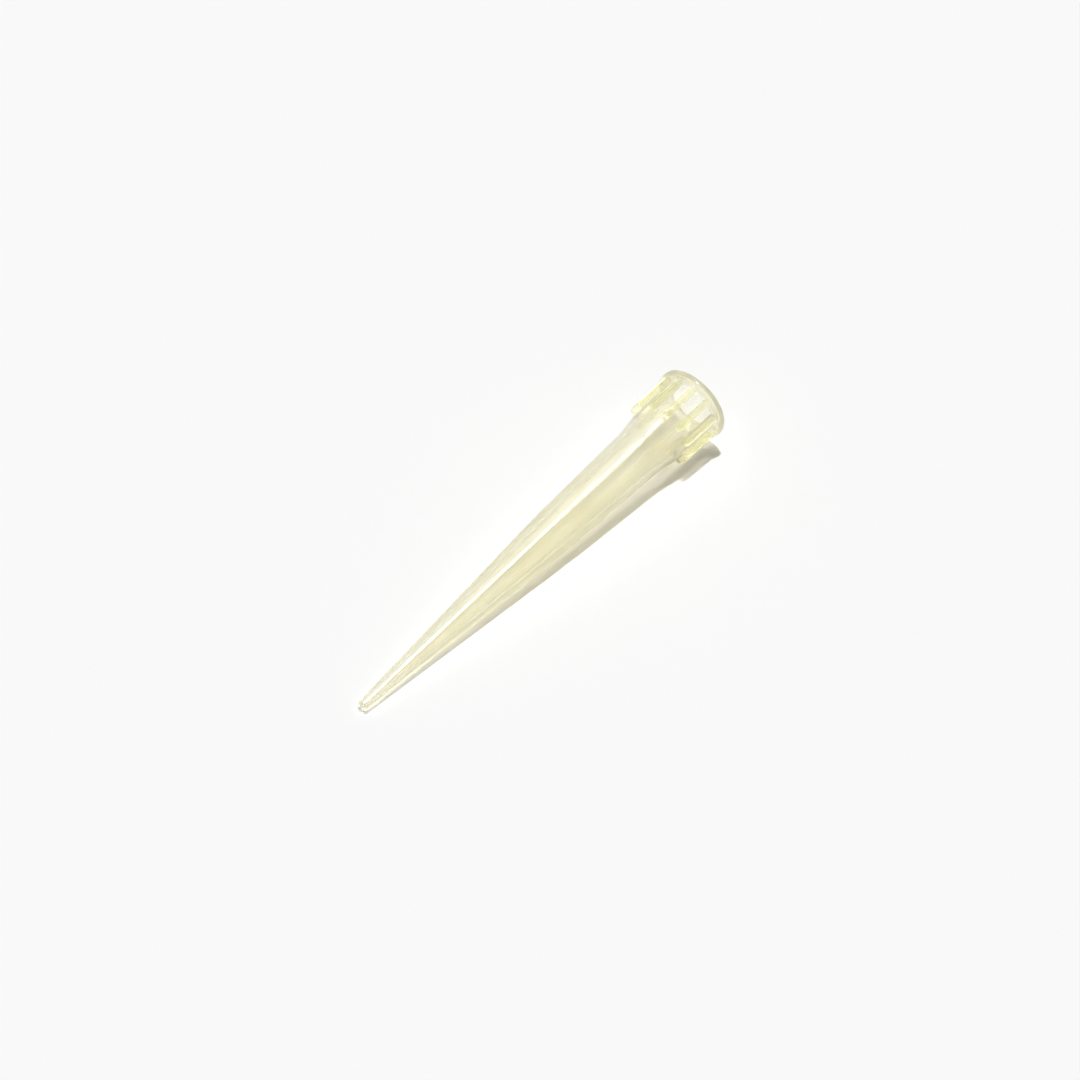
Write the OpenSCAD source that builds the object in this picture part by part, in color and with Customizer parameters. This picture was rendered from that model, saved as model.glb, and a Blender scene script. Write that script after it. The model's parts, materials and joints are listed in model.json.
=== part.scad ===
// Universal 200 microlitre pipette tip, moulded in one piece from polypropylene.
// It lies on its side, as it rests on a bench: on the end of its point and on two of its ribs.
// Sizes are in millimetres. Heights are measured along the tip, from the point to the mouth.

/* [Overall] */
// Length from the end of the point to the mouth
tip_length = 50; // [42:0.5:62]

/* [Point] */
// Outer diameter at the end of the point
point_diameter = 1.18; // [0.95:0.01:1.6]
// Diameter of the orifice that the liquid goes through
orifice_diameter = 0.5; // [0.3:0.02:0.7]
// Length of the straight hole behind the orifice
orifice_length = 0.6; // [0.2:0.1:2]
// Bevel around the end of the point
point_bevel = 0.1; // [0.02:0.01:0.12]

/* [Body] */
// Outer diameter at the knee, where the steep lower cone meets the slim upper one
knee_diameter = 4.68; // [4.2:0.02:5.1]
// Distance from the knee to the neck
upper_cone_length = 13.2; // [8:0.2:18]
// Length over which the knee bends
knee_bend = 8; // [2:0.5:12]
// Wall at the knee
knee_wall = 0.82; // [0.5:0.01:1]
// Outer diameter at the neck, where the collar starts to flare
neck_diameter = 5.48; // [5.2:0.02:5.8]
// Wall at the neck
neck_wall = 0.6; // [0.4:0.01:0.7]
// Length over which the outside bends into the flare
neck_bend = 1.4; // [0.4:0.1:2.4]

/* [Collar] */
// Length of the flare above the neck
flare_length = 2.6; // [1.8:0.1:3.4]
// Outer diameter of the collar between the ribs, just above the flare
collar_diameter = 6.3; // [6.1:0.02:6.8]
// Outer diameter of the collar between the ribs, just under the rim
collar_top_diameter = 6.4; // [6.2:0.02:7]
// Length over which the flare bends into the collar
collar_bend = 0.8; // [0.2:0.1:1.2]

/* [Socket] */
// Diameter of the mouth, inside
mouth_diameter = 5.6; // [5.3:0.02:5.8]
// Bevel that leads the nozzle into the mouth
mouth_bevel = 0.12; // [0.05:0.01:0.3]
// Diameter at the foot of the wide entry
entry_diameter = 5.5; // [5.2:0.02:5.7]
// Depth of the wide entry below the mouth
entry_depth = 4.4; // [3.4:0.1:5]
// Length of the cone that leads from the entry to the seal
step_length = 0.4; // [0.3:0.1:1.2]
// Diameter of the straight band that seals on the nozzle
seal_diameter = 5; // [4.8:0.02:5.15]
// Length of the straight band that seals on the nozzle
seal_length = 1.8; // [1.5:0.1:3.5]
// Length of the cone from the seal down to the neck
seal_lead = 1.9; // [0.4:0.1:2.4]

/* [Rim] */
// Outer diameter of the rim, the widest part of the tip
rim_diameter = 8.22; // [8:0.02:8.8]
// Outer diameter of the rim's lower edge
rim_lower_diameter = 7.94; // [7.8:0.02:8.1]
// Height of the rim
rim_height = 0.95; // [0.8:0.05:1.6]
// Height of the slanted band above the rim's lower edge
rim_slant = 0.45; // [0.2:0.05:0.6]
// Rounding of the rim's outer edge at the mouth
rim_round = 0.3; // [0.04:0.01:0.35]

/* [Ribs] */
// Number of ribs around the collar
rib_count = 12; // [6:1:16]
// Thickness of a rib
rib_thickness = 0.62; // [0.4:0.02:0.9]
// Length of a rib, from its lower end to the rim
rib_length = 4.55; // [3:0.05:5.4]
// Diameter over the ribs at their lower ends
rib_lower_diameter = 7.7; // [7:0.02:7.9]
// Diameter over the ribs at the rim
rib_upper_diameter = 7.88; // [7.1:0.02:7.92]
// Bevel at the outer corner of a rib's lower end
rib_bevel = 0.12; // [0.05:0.01:0.3]

/* [Hidden] */
$fn = 96;

socket_depth = entry_depth + step_length + seal_length + seal_lead;
neck_height = tip_length - socket_depth;
knee_height = neck_height - upper_cone_length;
collar_height = neck_height + flare_length;
rim_foot = tip_length - rim_height;

// Where the outside and the inside of the wall stand, as [radius, height].
point_edge = [point_diameter / 2, point_bevel];
outer_knee = [knee_diameter / 2, knee_height];
outer_neck = [neck_diameter / 2, neck_height];
outer_collar = [collar_diameter / 2, collar_height];
collar_top = [collar_top_diameter / 2, rim_foot];
rim_widest = [rim_diameter / 2, rim_foot + rim_slant];
rim_corner = [rim_diameter / 2, tip_length];
inner_neck = [neck_diameter / 2 - neck_wall, neck_height];
inner_knee = [knee_diameter / 2 - knee_wall, knee_height];
orifice_top = [orifice_diameter / 2, orifice_length];

// A rib starts inside the collar's wall and ends inside the rim.
rib_root = (collar_diameter + entry_diameter) / 4;
rib_foot = rim_foot - rib_length;
rib_seat = rim_foot + rim_slant / 2;

// The tip leans on the edge of its point and on the lower ends of its two lowest ribs,
// or on its rim where the ribs stand low. Each contact is [distance below the axis, height].
half_pitch = 180 / rib_count;
rib_contact = [
    rib_lower_diameter / 2 * cos(half_pitch) + rib_thickness / 2 * sin(half_pitch),
    rib_foot + rib_bevel
];
function lean(contact) = atan2(contact[0] - point_edge[0], contact[1] - point_edge[1]);
lie_angle = max(lean(rib_contact), lean(rim_widest));
lift = point_edge[0] * cos(lie_angle) - point_edge[1] * sin(lie_angle);
rear_x = -(point_edge[0] - point_bevel) * sin(lie_angle);
front_x = tip_length * cos(lie_angle) + (rim_corner[0] - rim_round) * sin(lie_angle);

// A point at a given distance from one point, on the straight line to another.
function toward(from, to, distance) = from + (to - from) * distance / norm(to - from);

// A smooth bend that replaces a corner and reaches half its length along either leg.
function bend(before, corner, after, length, steps = 8) =
    let (start = toward(corner, before, length / 2), end = toward(corner, after, length / 2))
    [for (i = [0:steps]) let (t = i / steps) (1 - t)^2 * start + 2 * t * (1 - t) * corner + t^2 * end];

// Outside of the tip, from the point up to the mouth.
outside = concat(
    [[point_edge[0] - point_bevel, 0], point_edge],
    bend(point_edge, outer_knee, outer_neck, knee_bend),
    bend(outer_knee, outer_neck, outer_collar, neck_bend),
    bend(outer_neck, outer_collar, collar_top, collar_bend),
    [collar_top, [rim_lower_diameter / 2, rim_foot], rim_widest],
    bend(rim_widest, rim_corner, [0, tip_length], 2 * rim_round)
);

// Inside of the tip, from the mouth down to the orifice.
inside = concat(
    [
        [mouth_diameter / 2 + mouth_bevel, tip_length],
        [mouth_diameter / 2, tip_length - mouth_bevel],
        [entry_diameter / 2, tip_length - entry_depth],
        [seal_diameter / 2, neck_height + seal_lead + seal_length],
        [seal_diameter / 2, neck_height + seal_lead],
        inner_neck
    ],
    bend(inner_neck, inner_knee, orifice_top, knee_bend),
    [orifice_top, [orifice_diameter / 2, 0]]
);

module wall() {
    rotate_extrude() polygon(concat(outside, inside));
}

module rib() {
    rotate([90, 0, 0])
        linear_extrude(height = rib_thickness, center = true)
            polygon([
                [rib_root, rib_foot],
                [rib_lower_diameter / 2 - rib_bevel, rib_foot],
                [rib_lower_diameter / 2, rib_foot + rib_bevel],
                [rib_upper_diameter / 2, rim_foot],
                [rib_upper_diameter / 2, rib_seat],
                [rib_root, rib_seat]
            ]);
}

// The ribs stand evenly around the collar, with a gap between two of them facing the bench.
module ribs() {
    for (i = [0:rib_count - 1])
        rotate([0, 0, (2 * i + 1) * half_pitch]) rib();
}

module pipette_tip() {
    color("#ece8c4")
        translate([-(rear_x + front_x) / 2, 0, lift])
            rotate([0, 90 - lie_angle, 0])
                union() {
                    wall();
                    ribs();
                }
}

pipette_tip();
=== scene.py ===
import json
import math
import bmesh
import bpy
from mathutils import Matrix, Vector


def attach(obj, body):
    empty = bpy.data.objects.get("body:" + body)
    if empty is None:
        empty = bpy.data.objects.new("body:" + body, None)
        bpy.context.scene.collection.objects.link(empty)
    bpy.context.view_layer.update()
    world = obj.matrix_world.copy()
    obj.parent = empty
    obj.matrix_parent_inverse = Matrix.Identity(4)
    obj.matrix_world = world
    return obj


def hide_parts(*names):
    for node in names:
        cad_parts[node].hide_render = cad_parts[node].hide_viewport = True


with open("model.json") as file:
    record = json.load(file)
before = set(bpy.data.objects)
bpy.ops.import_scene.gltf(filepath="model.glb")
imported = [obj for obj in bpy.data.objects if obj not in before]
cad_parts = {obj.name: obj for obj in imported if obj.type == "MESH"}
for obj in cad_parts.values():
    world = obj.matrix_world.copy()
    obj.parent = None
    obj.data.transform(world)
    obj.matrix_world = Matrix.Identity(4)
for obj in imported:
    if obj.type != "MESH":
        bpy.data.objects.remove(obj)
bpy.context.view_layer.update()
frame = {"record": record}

# ---------------------------------------------------------------------------
# Camera. A long lens stands off the point of the tip, well to its right, and looks
# down on the bench at about 47 degrees, so the mouth is at the far end.
MM = 0.001
camera_heading = math.radians(49.183)
camera_elevation = math.radians(46.667)
camera_distance = 450 * MM
look_at = Vector((-0.12, 0, 2)) * MM
look_right, look_up = 0.744 * MM, 1.291 * MM
# Blender takes these two in millimetres.
sensor_width, lens_length = 36, 152.31

forward = Vector((
    math.sin(camera_heading) * math.cos(camera_elevation),
    math.cos(camera_heading) * math.cos(camera_elevation),
    -math.sin(camera_elevation),
))
rightward = Vector((math.cos(camera_heading), -math.sin(camera_heading), 0))
upward = rightward.cross(forward)
camera_data = bpy.data.cameras.new("camera")
camera_data.sensor_width, camera_data.lens = sensor_width, lens_length
camera_data.clip_start, camera_data.clip_end = 0.01, 20
camera = bpy.data.objects.new("camera", camera_data)
camera.rotation_mode = "QUATERNION"
camera.rotation_quaternion = forward.to_track_quat("-Z", "Y")
camera.location = look_at + rightward * look_right + upward * look_up - forward * camera_distance
bpy.context.scene.collection.objects.link(camera)
bpy.context.scene.camera = camera

# ---------------------------------------------------------------------------
# The tip is one injection moulding of polypropylene, and this is its long body.
# The mould's cavity shapes its outside: steep from the point to the knee and slim
# from there to the neck, where it flares out into the collar.
tip_length = 50 * MM
point_radius, point_bevel = 0.582 * MM, 0.1 * MM
knee_radius, knee_height, knee_bend = 2.335 * MM, 28.3 * MM, 8 * MM
neck_radius, neck_height, neck_bend = 2.735 * MM, 41.5 * MM, 1.4 * MM
collar_radius, collar_height, collar_bend = 3.145 * MM, 44.1 * MM, 0.8 * MM
collar_top_radius, rim_foot = 3.195 * MM, 49.05 * MM
row_step = 0.8 * MM


def bend(before, corner, after, length, steps=8):
    """Points of a smooth bend that replaces a corner, half its length along either leg."""
    before, corner, after = Vector(before), Vector(corner), Vector(after)
    start = corner + (before - corner).normalized() * length / 2
    end = corner + (after - corner).normalized() * length / 2
    shares = [i / steps for i in range(steps + 1)]
    return [start * (1 - t) ** 2 + corner * 2 * t * (1 - t) + end * t * t for t in shares]


def filled(points):
    """The same line with more points on it, none further apart than a row."""
    points = [Vector(p) for p in points]
    found = [points[0]]
    for start, end in zip(points, points[1:]):
        count = math.ceil((end - start).length / row_step)
        found += [start.lerp(end, i / count) for i in range(1, count + 1)]
    return found


# Outlines are lists of (distance from the axis, height above the point's end).
point_edge = (point_radius, point_bevel)
knee = (knee_radius, knee_height)
neck = (neck_radius, neck_height)
collar_foot = (collar_radius, collar_height)
collar_top = (collar_top_radius, rim_foot)
outside = filled(
    bend((0, 0), (point_radius, 0), knee, 2 * point_bevel, steps=4)
    + bend(point_edge, knee, neck, knee_bend)
    + bend(knee, neck, collar_foot, neck_bend)
    + bend(neck, collar_foot, collar_top, collar_bend)
    + [collar_top]
)


def wall_radius(height):
    """Distance from the axis to the outside of the wall at a height."""
    for low, high in zip(outside, outside[1:]):
        if low.y <= height <= high.y:
            return low.x + (high.x - low.x) * (height - low.y) / (high.y - low.y)
    return collar_top_radius


# ---------------------------------------------------------------------------
# The bore and the socket, shaped by the mould's core pin. The socket has a wide
# entry, a short step and a straight band that seals on the pipette's nozzle, and
# below it the bore narrows to the orifice in the point.
orifice_radius, orifice_length = 0.25 * MM, 0.6 * MM
knee_wall, neck_wall = 0.82 * MM, 0.6 * MM
mouth_radius, mouth_bevel = 2.8 * MM, 0.12 * MM
entry_radius, entry_depth = 2.75 * MM, 4.4 * MM
seal_radius = 2.5 * MM
step_length, seal_lead = 0.4 * MM, 1.9 * MM
# Length over which the core pin's corners bend.
core_bend = 0.3 * MM

entry_foot = (entry_radius, tip_length - entry_depth)
seal_top = (seal_radius, tip_length - entry_depth - step_length)
seal_foot = (seal_radius, neck_height + seal_lead)
inner_neck = (neck_radius - neck_wall, neck_height)
inner_knee = (knee_radius - knee_wall, knee_height)
orifice_top = (orifice_radius, orifice_length)
inside = filled(
    [(mouth_radius + mouth_bevel, tip_length), (mouth_radius, tip_length - mouth_bevel)]
    + bend((mouth_radius, tip_length), entry_foot, seal_top, core_bend, steps=3)
    + bend(entry_foot, seal_top, seal_foot, core_bend, steps=3)
    + bend(seal_top, seal_foot, inner_neck, core_bend, steps=3)
    + bend(seal_foot, inner_neck, inner_knee, core_bend, steps=3)
    + bend(inner_neck, inner_knee, orifice_top, knee_bend)
    + [orifice_top, (orifice_radius, 0)]
)

# ---------------------------------------------------------------------------
# The rim around the mouth, which an ejector pushes on, and the twelve ribs under
# it, which stiffen the collar and carry the tip in a rack. Both are part of the
# same moulding. The ribs lean out a little towards the rim.
rim_radius, rim_lower_radius = 4.105 * MM, 3.965 * MM
rim_slant, rim_round = 0.45 * MM, 0.3 * MM
rim_bend = 0.12 * MM
rib_count, rib_half = 12, 0.31 * MM
rib_foot, rib_bevel = 44.5 * MM, 0.12 * MM
rib_lower_radius, rib_upper_radius = 3.845 * MM, 3.935 * MM
rib_columns, wall_columns = 14, 24

rim_underside = (rim_lower_radius, rim_foot)
rim_widest = (rim_radius, rim_foot + rim_slant)
rim_corner = (rim_radius, tip_length)
rim = (
    [Vector(rim_underside)]
    + bend(rim_underside, rim_widest, rim_corner, rim_bend, steps=3)
    + bend(rim_widest, rim_corner, (0, tip_length), 2 * rim_round, steps=4)
)


def half_angle(radius):
    """Angle from the middle of a rib to its side, at a distance from the axis."""
    return math.asin(rib_half / min(max(radius, wall_radius(rib_foot)), rib_upper_radius))


def row(height, wall, rib=None):
    """One row of points around the tip: over each rib, then along the wall to the next."""
    rib = rib or wall
    pitch = 2 * math.pi / rib_count
    points = []
    for k in range(rib_count):
        middle = (k + 0.5) * pitch
        edge = half_angle(rib)
        turns = [(rib, middle + edge * (2 * i / rib_columns - 1)) for i in range(rib_columns + 1)]
        start, end = middle + half_angle(wall), middle + pitch - half_angle(wall)
        turns += [(wall, start + (end - start) * i / wall_columns) for i in range(wall_columns + 1)]
        points += [(r * math.cos(turn), r * math.sin(turn), height) for r, turn in turns]
    return points


# Rows run up the outside, over the ribs and the rim, and down the inside.
rib_rows = [p.y for p in filled([(0, rib_foot + rib_bevel), (0, rim_foot)])]
outer_rows = [row(p.y, p.x) for p in outside if p.y < rib_foot - rib_bevel]
outer_rows.append(row(rib_foot, wall_radius(rib_foot)))
outer_rows.append(row(rib_foot, wall_radius(rib_foot), rib_lower_radius - rib_bevel))
for height in rib_rows:
    share = (height - rib_foot) / (rim_foot - rib_foot)
    rib_radius = rib_lower_radius + (rib_upper_radius - rib_lower_radius) * share
    outer_rows.append(row(height, wall_radius(height), rib_radius))
outer_rows.append(row(rim_foot, rib_upper_radius))
outer_rows += [row(p.y, p.x) for p in rim]
inner_rows = [row(p.y, p.x) for p in inside]

# The part's own mounts say where the tip's axis lies.
mounts = {mount["name"]: mount for mount in frame["record"]["mounts"]}
axis = Vector(mounts["nozzle_socket"]["axis"]).normalized()
socket = Vector(mounts["nozzle_socket"]["pos_m"])
mouth = socket + axis * (Vector(mounts["mouth_rim"]["pos_m"]) - socket).dot(axis)
side = Vector((0, 1, 0))
place = Matrix((side.cross(axis), side, axis)).transposed().to_4x4()
place.translation = mouth - axis * tip_length

weld_distance = 0.0002 * MM
mesh = bmesh.new()
# Two marks tell the material which skin is outside and which part of it is a rib.
skin = mesh.verts.layers.float.new("outer_skin")
rib_skin = mesh.verts.layers.float.new("rib_skin")
rings = []
for rows, outer in ((outer_rows, 1), (inner_rows, 0)):
    for points in rows:
        ring = [mesh.verts.new(place @ Vector(point)) for point in points]
        for vertex, (x, y, height) in zip(ring, points):
            vertex[skin] = outer
            on_rib = outer and height < rim_foot and math.hypot(x, y) > wall_radius(height) + rib_bevel
            vertex[rib_skin] = float(on_rib)
        rings.append(ring)
for low, high in zip(rings, rings[1:] + rings[:1]):
    for i in range(len(low)):
        mesh.faces.new((low[i - 1], low[i], high[i], high[i - 1]))
bmesh.ops.remove_doubles(mesh, verts=mesh.verts, dist=weld_distance)
bmesh.ops.recalc_face_normals(mesh, faces=mesh.faces)
tip_mesh = bpy.data.meshes.new("tip_moulding")
mesh.to_mesh(tip_mesh)
mesh.free()
tip_mesh.shade_smooth()
tip = bpy.data.objects.new("tip_moulding", tip_mesh)
bpy.context.scene.collection.objects.link(tip)

# A mould has no sharp edges: small radii round the ribs, the rim and the mouth.
edge_radius, sharp_angle = 0.04 * MM, math.radians(28)
radii = tip.modifiers.new("mould_radii", "BEVEL")
radii.width, radii.segments = edge_radius, 2
radii.limit_method, radii.angle_limit = "ANGLE", sharp_angle
radii.harden_normals = True

# ---------------------------------------------------------------------------
# Polypropylene, injection moulded in a polished mould and tinted pale yellow. Its
# fine crystals scatter the light inside the wall, so the tip looks milky and
# glows where light passes through it, with a soft gloss on top.
# The first two colours are the plastic's own tone and its flow streaks. The third is a painted tint for
# light running along the ribs.
plain_tint, streak_tint, painted_rib_tint = "#fffffd", "#f8f6ea", "#fbfad0"
smoothest, roughest = 0.07, 0.14
flow_length, flow_width = 9 * MM, 0.7 * MM
flow_low, flow_high = 0.35, 0.65
ripple_width, ripple_height = 1.1 * MM, 0.001 * MM


def linear(code):
    """Linear red, green, blue and alpha of an sRGB hex colour."""
    parts = [int(code[i:i + 2], 16) / 255 for i in (1, 3, 5)]
    return [p / 12.92 if p <= 0.04045 else ((p + 0.055) / 1.055) ** 2.4 for p in parts] + [1]


def node(tree, kind, links=(), **settings):
    """Adds a node with its settings, and links outputs to its inputs by name or number."""
    made = tree.nodes.new(kind)
    for name, value in settings.items():
        if name in made.bl_rna.properties:
            setattr(made, name, value)
        else:
            made.inputs[name.replace("_", " ")].default_value = value
    for output, name in links:
        tree.links.new(output, made.inputs[name])
    return made


polypropylene = bpy.data.materials.new("moulded_polypropylene")
polypropylene.use_nodes = True
tree = polypropylene.node_tree
tree.nodes.clear()

# The melt runs along the tip and leaves faint streaks, a little yellower and less
# glossy. They are drawn wider than the real ones, which are too fine to show.
where = node(tree, "ShaderNodeTexCoord")
along = node(
    tree, "ShaderNodeMapping", [(where.outputs["Object"], "Vector")],
    Scale=(1 / flow_length, 1 / flow_width, 1 / flow_width),
)
streaks = node(tree, "ShaderNodeTexNoise", [(along.outputs[0], "Vector")], Scale=1, Detail=3)
flow = node(
    tree, "ShaderNodeMapRange", [(streaks.outputs[0], "Value")],
    From_Min=flow_low, From_Max=flow_high,
)
gloss = node(
    tree, "ShaderNodeMapRange", [(flow.outputs[0], "Value")],
    To_Min=smoothest, To_Max=roughest,
)
tint = node(tree, "ShaderNodeMix", [(flow.outputs[0], "Factor")], data_type="RGBA")
tint.inputs["A"].default_value = linear(plain_tint)
tint.inputs["B"].default_value = linear(streak_tint)
# The ribs are tinted yellower than the wall between them, more than the volume below gives. This is a
# painted tint that stands in for light running along the ribs through more plastic, so their outer skin
# carries it. The plastic itself is one colour.
rib_part = node(tree, "ShaderNodeAttribute", attribute_name="rib_skin")
colour = node(
    tree, "ShaderNodeMix", [(rib_part.outputs["Fac"], "Factor"), (tint.outputs[2], "A")],
    data_type="RGBA",
)
colour.inputs["B"].default_value = linear(painted_rib_tint)
# The polished mould is wavy by about a micrometre, which bends the long highlight.
ripple = node(
    tree, "ShaderNodeTexNoise", [(where.outputs["Object"], "Vector")],
    Scale=1 / ripple_width, Detail=2,
)
relief = node(
    tree, "ShaderNodeBump", [(ripple.outputs[0], "Height")],
    Strength=1, Distance=ripple_height,
)
surface = node(
    tree, "ShaderNodeBsdfPrincipled",
    [(colour.outputs[2], "Base Color"), (gloss.outputs[0], "Roughness"), (relief.outputs[0], "Normal")],
    IOR=1.49, Transmission_Weight=1,
)

# A stand-in for how the tip bends lamp light and the bench's own light: they pass
# straight through the skin, less at a low angle, which keeps the shadow bright.
skin_light, edge_light = "#f1f0ef", "#dddbd5"
face_on, edge_on = 0.25, 0.56
facing = node(tree, "ShaderNodeLayerWeight", Blend=0.5)
outer_light = node(tree, "ShaderNodeValToRGB", [(facing.outputs["Facing"], "Fac")])
stops = outer_light.color_ramp.elements
stops[0].position, stops[0].color = face_on, linear(skin_light)
stops[1].position, stops[1].color = edge_on, linear(edge_light)
outer_skin = node(tree, "ShaderNodeAttribute", attribute_name="outer_skin")
clear = node(
    tree, "ShaderNodeMix", [(outer_skin.outputs["Fac"], "Factor"), (outer_light.outputs[0], "B")],
    data_type="RGBA",
)
clear.inputs["A"].default_value = linear(skin_light)
passed = node(tree, "ShaderNodeBsdfTransparent", [(clear.outputs[2], "Color")])
ray = node(tree, "ShaderNodeLightPath")
soft_ray = node(
    tree, "ShaderNodeMath", [(ray.outputs["Is Shadow Ray"], 0), (ray.outputs["Is Diffuse Ray"], 1)],
    operation="MAXIMUM",
)
skin_shader = node(
    tree, "ShaderNodeMixShader",
    [(soft_ray.outputs[0], 0), (surface.outputs[0], 1), (passed.outputs[0], 2)],
)

# Inside the wall: pigment takes the blue, and the crystals scatter forwards. Both
# densities are per metre of plastic.
pigment_colour, pigment_density = "#fdf699", 150
crystal_colour, crystal_density, forward_share = "#ffffff", 700, 0.7
pigment = node(
    tree, "ShaderNodeVolumeAbsorption",
    Color=linear(pigment_colour), Density=pigment_density,
)
crystals = node(
    tree, "ShaderNodeVolumeScatter",
    Color=linear(crystal_colour), Density=crystal_density, Anisotropy=forward_share,
)
inner = node(tree, "ShaderNodeAddShader", [(pigment.outputs[0], 0), (crystals.outputs[0], 1)])
node(
    tree, "ShaderNodeOutputMaterial",
    [(skin_shader.outputs[0], "Surface"), (inner.outputs[0], "Volume")],
)
tip_mesh.materials.append(polypropylene)
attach(tip, "root")
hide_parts("pipette_tip")

# ---------------------------------------------------------------------------
# The bench top is a sheet of matt white card, the only thing in the scene that
# isn't the tip.
card_half = 3
card_mesh = bpy.data.meshes.new("bench_card")
corners = [(-card_half, -card_half, 0), (card_half, -card_half, 0), (card_half, card_half, 0)]
card_mesh.from_pydata(corners + [(-card_half, card_half, 0)], [], [(0, 1, 2, 3)])
card = bpy.data.objects.new("bench_card", card_mesh)
bpy.context.scene.collection.objects.link(card)
white_card = bpy.data.materials.new("matt_white_card")
white_card.use_nodes = True
tree = white_card.node_tree
tree.nodes.clear()
fibres = node(
    tree, "ShaderNodeBsdfPrincipled", Base_Color=linear("#fafafa"), Roughness=1, Specular_IOR_Level=0
)
node(tree, "ShaderNodeOutputMaterial", [(fibres.outputs[0], "Surface")])
card_mesh.materials.append(white_card)

# ---------------------------------------------------------------------------
# Studio light. A distant lamp overhead casts the shadow and lights the bench evenly.
# Two soft boxes beside it show in the gloss and light the milky wall a little, but
# not the bench: a bright one for the long highlight and a wide, dim one.


def lamp(name, kind, location, strength):
    """A lamp at a place, turned to shine at the middle of the bench."""
    data = bpy.data.lights.new(name, kind)
    data.energy = strength
    made = bpy.data.objects.new(name, data)
    made.location = location
    made.rotation_euler = location.to_track_quat("Z", "Y").to_euler()
    bpy.context.scene.collection.objects.link(made)
    return made


def above(distance, toward_mouth, toward_left):
    """A place over the tip, turned from straight above it by two angles in degrees."""
    a, b = math.radians(toward_mouth), math.radians(toward_left)
    return Vector((math.tan(a), math.tan(b), 1)).normalized() * distance


def soft_box(name, width, depth, level, location):
    """A box of light for the tip alone. Its level is how bright its face looks."""
    box = lamp(name, "AREA", location, level * math.pi * width * depth)
    box.data.shape, box.data.size, box.data.size_y = "RECTANGLE", width, depth
    box.visible_diffuse = False


# The lamp's level is what a pure white card shows under it.
key_spread, key_level = math.radians(4.06), 0.86
key_place = above(1.2, toward_mouth=8.2, toward_left=2.1)
overhead = lamp("overhead_lamp", "SUN", key_place, key_level * math.pi)
overhead.data.angle = key_spread
strip_place = above(1.2, toward_mouth=13.5, toward_left=-3)
soft_box("strip_box", width=0.22, depth=0.4, level=8, location=strip_place)
wide_place = above(1.25, toward_mouth=20, toward_left=12)
soft_box("wide_box", width=0.6, depth=0.8, level=1.5, location=wide_place)

# The room shows plain white to the eye, in gloss and through the tip, and lights
# everything at a low level.
room_light, room_seen = 0.14, 1
world = bpy.data.worlds.new("studio")
bpy.context.scene.world = world
world.use_nodes = True
tree = world.node_tree
tree.nodes.clear()
path = node(tree, "ShaderNodeLightPath")
seen = node(
    tree, "ShaderNodeMath", [(path.outputs["Is Camera Ray"], 0), (path.outputs["Is Glossy Ray"], 1)],
    operation="MAXIMUM",
)
seen = node(
    tree, "ShaderNodeMath", [(seen.outputs[0], 0), (path.outputs["Is Transmission Ray"], 1)],
    operation="MAXIMUM",
)
level = node(
    tree, "ShaderNodeMapRange", [(seen.outputs[0], "Value")],
    To_Min=room_light, To_Max=room_seen,
)
sky = node(tree, "ShaderNodeBackground", [(level.outputs[0], "Strength")], Color=linear("#ffffff"))
node(tree, "ShaderNodeOutputWorld", [(sky.outputs[0], "Surface")])

scene = bpy.context.scene
scene.view_settings.view_transform = "Standard"
# Light crosses many skins and scatters often inside the milky wall.
scene.cycles.max_bounces = 64
scene.cycles.volume_bounces = 32
scene.cycles.transmission_bounces = 32
scene.cycles.transparent_max_bounces = 32
